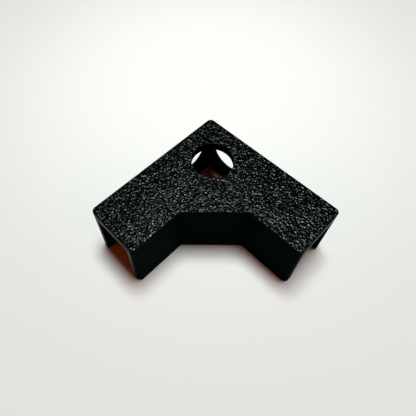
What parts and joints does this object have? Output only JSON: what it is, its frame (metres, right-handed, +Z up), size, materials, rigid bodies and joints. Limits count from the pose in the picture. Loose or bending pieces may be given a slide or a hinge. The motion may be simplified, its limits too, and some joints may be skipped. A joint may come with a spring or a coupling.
{
  "type": "corner bracket",
  "caption": "L-shaped corner bracket of upside-down channel section, with a bevelled inside corner, open arm ends and round holes through its top plate and outer walls.",
  "frame": {"origin": "middle of the part's box, at the level of the wall rims that it stands on", "axes": "+Z up out of the grained plate, +X and +Y along the arms, away from the outer corner"},
  "size_m": [0.054, 0.054, 0.0235],
  "materials": {
    "black_plastic": "pebbled grain on the plate's top, satin on the walls"
  },
  "bodies": {
    "root": {"corner_bracket": "black_plastic"}
  },
  "joints": []
}
